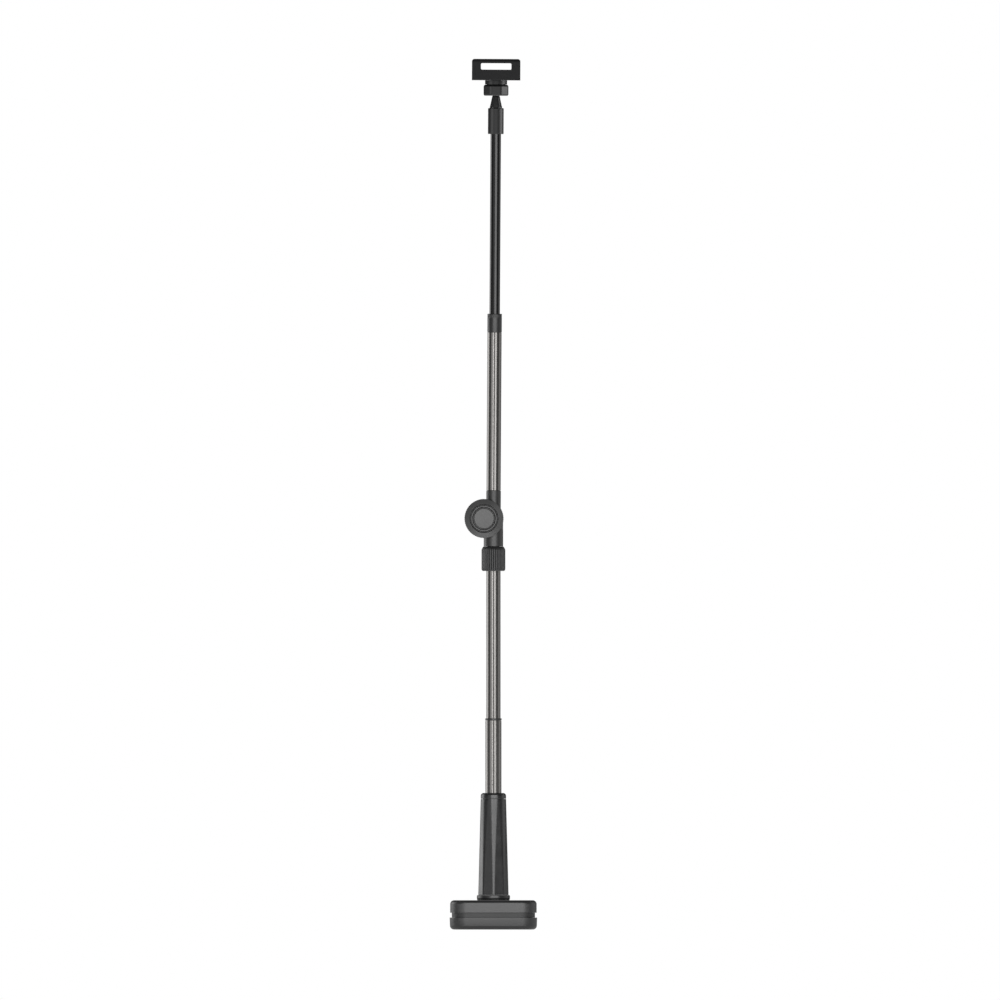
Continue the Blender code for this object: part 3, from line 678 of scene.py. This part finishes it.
def build_ball_head():
    """Stem with its ball, the socket over it and the nut that clamps it."""
    stem = [
        (0, 977.0, 0), (2.9, 977.0, 0), (2.9, 985.95, 0), (7.2, 985.95, 0), (7.4, 986.2, 0), (7.35, 987.0, 0.1),
        (7.15, 987.9, 0.35), (6.75, 989.6, 0.4), (6.15, 992.4, 0.4), (5.5, 995.4, 0.35), (5.05, 997.6, 0.25),
        (4.8, 998.8, 0.1), (4.7, 999.3, 0), (4.5, 999.8, 0), (4.2, 1000.1, 0),
    ]
    ball = [(r, z, 0) for r, z in arc((0, BALL_Z), 8.5, -60.4, 88.0, 30)] + [(0, BALL_Z + 8.5, 0)]
    loops = []
    for radius, height, depth in stem + ball:
        loops.append(circle(flutes(radius, depth, 6) if depth else radius, height, 96))
    piece("ball_stem_visual", loft(loops), "ball", STEM_BLACK, angle=40)

    cavity = [(0, BALL_Z + 9.75)] + arc((0, BALL_Z), 9.75, 86, -16, 18)
    foot = cavity[-1][1]
    count = len(cavity)
    rest = [(11.4, foot), (11.4, 1014.2), (13.25, 1014.2), (13.25, 1019.15), (6.0, 1019.15), (6.0, 1023.0),
            (0, 1023.0)]
    socket = rounded(cavity + rest, {count + 2: 0.4, count + 3: 0.3}, 4)
    piece("ball_socket_visual", turned(socket), "clamp", HEAD_PLASTIC)

    low, high = 1000.7, 1013.9
    loops = []
    for drop, height in ((1.5, low), (0.9, low + 0.25), (0.3, low + 0.9), (0.0, low + 1.7), (0.0, high - 2.2),
                         (0.35, high - 1.3), (0.9, high - 0.6), (1.5, high - 0.15), (1.9, high)):
        loops.append(circle(rounded_octagon(15.65 - drop, 6.0, math.pi / 8), height, 192))
    for inside, height in ((11.8, high), (11.8, 1005.0), (8.1, 1004.9), (8.1, 1004.2), (11.5, low)):
        loops.append(circle(inside, height, 192))
    piece("ball_nut_visual", loft(loops, ring=True), "head_nut", HEAD_PLASTIC, angle=18)


# ---------------------------------------------------------------- clamp


def jaw_outline(sign, inner, bottom):
    """Side view of a jaw: straight inside, with the outer top edge rounded."""
    top, outer = CLAMP_Z[1], JAW_OUTER_Y
    outline = [(sign * inner, bottom), (sign * inner, top - 0.8), (sign * (inner + 0.8), top)]
    outline += [(sign * y, z) for y, z in arc((outer - 4.4, top - 4.4), 4.4, 85, 0, 10)]
    return outline + [(sign * outer, CLAMP_Z[0] + 0.6), (sign * (outer - 0.6), CLAMP_Z[0])]


def clamp_rods(radius, y_span):
    """Two rods along Y, side by side in the clamp body, as one mesh."""
    bm = bmesh.new()
    for x in (-ROD_SPACING, ROD_SPACING):
        turned(rod_profile(radius, y_span), 32, (x, ROD_HEIGHT), "Y", bm)
    return bm


def four(radius, span, spacing, segments=32):
    """Four upright round posts at the corners of a square, as one mesh."""
    bm = bmesh.new()
    for x in (-spacing, spacing):
        for y in (-spacing, spacing):
            turned(rod_profile(radius, span), segments, (x, y), bm=bm)
    return bm


def window(y_span, spare=0.0):
    """The jaw's slot-shaped window."""
    span = (WINDOW_Z[0] - spare, WINDOW_Z[1] + spare)
    return front_prism(WINDOW_WIDTH + 2 * spare, span, 1.5 + spare, y_span)


def jaw_pad(name, y_span, body):
    """Soft pad on a jaw, ribbed across on the side that meets the phone."""
    pad = front_prism(50.0, (1030.9, 1043.4), 2.0, y_span)
    face = y_span[1] if body == "clamp" else y_span[0]
    steps = [("DIFFERENCE", window((y_span[0] - 4, y_span[1] + 4), 0.5))]
    for x in (-22.5, -20.5, 20.5, 22.5):
        steps.append(("DIFFERENCE", box((x - 0.35, x + 0.35), (face - 0.4, face + 0.4), (1032.4, 1041.9))))
    shaped_piece(f"{name}_visual", pad, body, RUBBER, steps, 0.12)


def build_clamp():
    """Clamp body with its fixed jaw, cover, pads and screws."""
    floor, body_top, back = CLAMP_Z[0], CLAMP_BODY_TOP, 29.6
    outline = jaw_outline(-1, 30.0, body_top) + [(back, floor), (back, body_top)]
    steps = [
        ("INTERSECT", front_prism(CLAMP_WIDTH, CLAMP_CORNERS_Z, 3.0, (-40, 40))),
        ("DIFFERENCE", window((-40, -20))),
        ("DIFFERENCE", box((-26.2, 26.2), (-27.2, 26.4), (1021.7, 1035.0))),
        ("DIFFERENCE", turned(rod_profile(6.3, (1015, 1025)), 48)),
        ("DIFFERENCE", clamp_rods(1.75, (20.0, 35.0))),
        ("DIFFERENCE", four(1.7, (1015, 1025), CLAMP_SCREW_AT)),
        ("DIFFERENCE", four(2.9, (1018, 1020.4), CLAMP_SCREW_AT)),
    ]
    body = side_prism(outline, CLAMP_WIDTH + 4)
    shaped_piece("clamp_body_visual", body, "clamp", CLAMP_PLASTIC, steps, 0.35)

    cover = front_prism(51.6, (1027.4, 1028.8), 0.4, (-26.8, 26.0))
    steps = [
        ("UNION", four(3.4, (1022.1, 1028.0), CLAMP_SCREW_AT)),
        ("DIFFERENCE", four(1.5, (1020.0, 1026.5), CLAMP_SCREW_AT)),
    ]
    shaped_piece("clamp_cover_visual", cover, "clamp", CLAMP_PLASTIC, steps, 0.0)

    pad = []
    for inset, z in ((0.2, 1029.1), (0.0, 1029.3), (0.0, 1029.9), (0.15, 1030.2), (0.5, 1030.3)):
        pad.append([(x, y, z) for x, y in rounded_rectangle(48.0 - 2 * inset, 50.0 - 2 * inset, 3.0 - inset)])
    steps = []
    for y in range(-20, 21, 5):
        if y:
            steps.append(("DIFFERENCE", box((-20, 20), (y - 0.4, y + 0.4), (1029.9, 1031.0))))
    shaped_piece("phone_rest_pad_visual", loft(pad), "clamp", RUBBER, steps, 0.0)
    jaw_pad("fixed_jaw_pad", (-29.7, -28.5), "clamp")

    for k, (x, y) in enumerate(((-1, -1), (1, -1), (1, 1), (-1, 1)), start=1):
        cx, cy = x * CLAMP_SCREW_AT, y * CLAMP_SCREW_AT
        profile = [(0, 1019.4), (2.5, 1019.4), (2.5, 1020.1), (1.2, 1020.1), (1.2, 1025.6), (0, 1026.0)]
        screw = turned(rounded(profile, {1: 0.35}, 4), 32, (cx, cy))
        steps = [
            ("DIFFERENCE", box((cx - 1.3, cx + 1.3), (cy - 0.25, cy + 0.25), (1019.0, 1019.8))),
            ("DIFFERENCE", box((cx - 0.25, cx + 0.25), (cy - 1.3, cy + 1.3), (1019.0, 1019.8))),
        ]
        shaped_piece(f"clamp_screw_{k}_visual", screw, "clamp", STEEL, steps, 0.0)


def spring(x):
    """Coil spring round a guide rod."""
    turns, steps, sides = 16, 28, 10
    coil_r, wire_r = 2.15, 0.3
    start, end = -22.8, 25.7
    loops = []
    for k in range(turns * steps + 1):
        angle = 2 * math.pi * k / steps
        y = start + (end - start) * k / (turns * steps)
        loop = []
        for n in range(sides):
            around = 2 * math.pi * n / sides
            r = coil_r + wire_r * math.cos(around)
            across, up = r * math.cos(angle), r * math.sin(angle)
            loop.append((x + across, y + wire_r * math.sin(around), ROD_HEIGHT + up))
        loops.append(loop)
    return loft(loops)


def build_jaw():
    """Sliding jaw with its pad, guide rods and springs."""
    outline = jaw_outline(1, 29.7, CLAMP_Z[0])
    steps = [
        ("INTERSECT", front_prism(CLAMP_WIDTH, CLAMP_CORNERS_Z, 3.0, (20, 45))),
        ("DIFFERENCE", window((20, 45))),
        ("DIFFERENCE", clamp_rods(1.75, (25.0, 34.2))),
    ]
    jaw = side_prism(outline, CLAMP_WIDTH + 4)
    shaped_piece("sliding_jaw_visual", jaw, "jaw", CLAMP_PLASTIC, steps, 0.35)
    jaw_pad("sliding_jaw_pad", (28.2, 29.4), "jaw")
    for side, x in (("left", -ROD_SPACING), ("right", ROD_SPACING)):
        profile = [(0, -25.0), (2.4, -25.0), (2.4, -23.5), (1.4, -23.5), (1.4, 33.8), (0, 33.8)]
        rod = rounded(profile, {1: 0.3, 4: 0.3}, 3)
        shape = turned(rod, 48, (x, ROD_HEIGHT), "Y")
        piece(f"guide_rod_{side}_visual", shape, "jaw", STEEL)
        coil = piece(f"jaw_spring_{side}_visual", spring(x), "clamp", STEEL, angle=60)
        coil.modifiers.clear()
        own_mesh(coil)


# ---------------------------------------------------------------- inside pieces


def finish_inside():
    """Procedural finishes for the CAD pieces that stay, all of them inside others."""
    inside = {
        IRON: ["counterweight"],
        NYLON: ["grip_guide_sleeve", "outer_pole_bush", "inner_pole_bush", "lock_collet", "hinge_washer",
                "rod_bush", "ball_liner"],
        STEEL: ["pole_top_ferrule", "hinge_bolt"] + [f"base_screw_{k}" for k in range(1, 5)],
    }
    for material, names in inside.items():
        for name in names:
            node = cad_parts[name]
            node.data.materials.clear()
            node.data.materials.append(material)


# ---------------------------------------------------------------- studio


def lit_group(name, bodies, extra=(), without=()):
    """The visible pieces of some bodies, as a collection that lights can be kept to."""
    group = bpy.data.collections.new(name)
    for obj in PIECES:
        if (PIECES[obj] in bodies or obj.name in extra) and obj.name not in without:
            group.objects.link(obj)
    return group


def soft_box(name, azimuth, span, brightness, group=None, distance=3.4, heights=(0.02, 2.1)):
    """A tall light panel that faces the pole. Azimuth 0 is in front of the stand and 90 on its right."""
    low, high = heights
    width = 2 * distance * math.tan(math.radians(span / 2))
    data = bpy.data.lights.new(name, "AREA")
    data.shape = "RECTANGLE"
    data.size, data.size_y = width, high - low
    data.energy = brightness * math.pi * width * (high - low)
    light = bpy.data.objects.new(name, data)
    angle = math.radians(azimuth)
    light.location = (distance * math.sin(angle), -distance * math.cos(angle), (low + high) / 2)
    light.rotation_euler = (math.pi / 2, 0, angle)
    light.visible_camera = False
    light.light_linking.receiver_collection = group
    bpy.context.scene.collection.objects.link(light)


def floor_card():
    """A glowing card on the floor in front of the stand, which lights the undersides."""
    data = bpy.data.lights.new("floor_card", "AREA")
    data.shape = "RECTANGLE"
    width, depth, brightness = 0.7, 0.35, 2.0
    data.size, data.size_y = width, depth
    data.energy = brightness * math.pi * width * depth
    card = bpy.data.objects.new("floor_card", data)
    card.location = (0, -0.3, 0.002)
    card.rotation_euler = (math.pi, 0, 0)
    card.visible_camera = False
    bpy.context.scene.collection.objects.link(card)


def build_floor():
    """Plain pale floor."""
    floor_mesh = bpy.data.meshes.new("floor")
    floor_mesh.from_pydata([(-6, -6, 0), (6, -6, 0), (6, 6, 0), (-6, 6, 0)], [], [(0, 1, 2, 3)])
    floor = bpy.data.objects.new("floor", floor_mesh)
    bpy.context.scene.collection.objects.link(floor)
    paint = Shader("floor_paint", (0.82, 0.82, 0.82), 0.7)
    paint.colour(paint.spread(paint.noise(400.0), 0.0, 1.0), (0.81, 0.81, 0.81), (0.84, 0.84, 0.84))
    paint.set("Emission Color", (1.0, 1.0, 1.0, 1.0))
    paint.set("Emission Strength", 0.45)
    floor_mesh.materials.append(paint.material)


def build_surroundings():
    """Surroundings that look white to the camera and light the stand only faintly."""
    world = bpy.data.worlds.new("studio")
    bpy.context.scene.world = world
    world.use_nodes = True
    nodes, links = world.node_tree.nodes, world.node_tree.links
    nodes.clear()
    seen = nodes.new("ShaderNodeBackground")
    seen.inputs["Color"].default_value = (1, 1, 1, 1)
    lit = nodes.new("ShaderNodeBackground")
    lit.inputs["Color"].default_value = (1, 1, 1, 1)
    lit.inputs["Strength"].default_value = AMBIENT
    path = nodes.new("ShaderNodeLightPath")
    mix = nodes.new("ShaderNodeMixShader")
    out = nodes.new("ShaderNodeOutputWorld")
    links.new(path.outputs["Is Camera Ray"], mix.inputs["Fac"])
    links.new(lit.outputs["Background"], mix.inputs[1])
    links.new(seen.outputs["Background"], mix.inputs[2])
    links.new(mix.outputs["Shader"], out.inputs["Surface"])


def build_lights():
    """Soft boxes round the stand, each kept to the pieces it is meant for."""
    tube_names = ("outer_pole_tube_visual", "inner_pole_tube_visual", "upper_arm_tube_visual")
    tubes = lit_group("tubes", (), extra=tube_names)
    lower = lit_group("lower", STAND_BODIES)
    mouldings = lit_group("mouldings", STAND_BODIES + ("rod",), without=tube_names + ("stem_collar_visual",))
    below_head = lit_group("below_head", STAND_BODIES + ("rod",), without=("stem_collar_visual",))
    head = lit_group("head", HEAD_BODIES, extra=("stem_collar_visual",))
    soft_box("left_rim", -118, 44, 1.8, below_head)
    soft_box("left_front", -34, 32, 0.85, tubes)
    soft_box("left_fill", -34, 32, 0.4, mouldings)
    soft_box("front_strip", -14, 10, 3.6, lower)
    soft_box("front", 24, 24, 2.6, below_head)
    soft_box("front_fill", 2, 22, 2.6, mouldings)
    soft_box("right_rim", 105, 44, 0.5, below_head)
    soft_box("head_left", -58, 40, 1.0, head)
    soft_box("head_front", 0, 50, 0.6, head)
    soft_box("head_top", 0, 60, 0.4, head, distance=1.5, heights=(1.7, 2.8))
    soft_box("head_right", 86, 40, 2.1, head)
    floor_card()


def build_camera():
    """Straight front view without perspective, with the whole stand in the frame."""
    data = bpy.data.cameras.new("camera")
    data.type = "ORTHO"
    data.ortho_scale = 1.2
    camera = bpy.data.objects.new("camera", data)
    camera.location = (0.0079, -2.5, 0.5155)
    camera.rotation_euler = (math.pi / 2, 0, 0)
    bpy.context.scene.collection.objects.link(camera)
    bpy.context.scene.camera = camera
    bpy.context.scene.view_settings.view_transform = "Standard"


build_base()
build_grip()
build_pole()
build_elbow()
build_arm()
build_ball_head()
build_clamp()
build_jaw()
finish_inside()
build_floor()
build_surroundings()
build_lights()
build_camera()
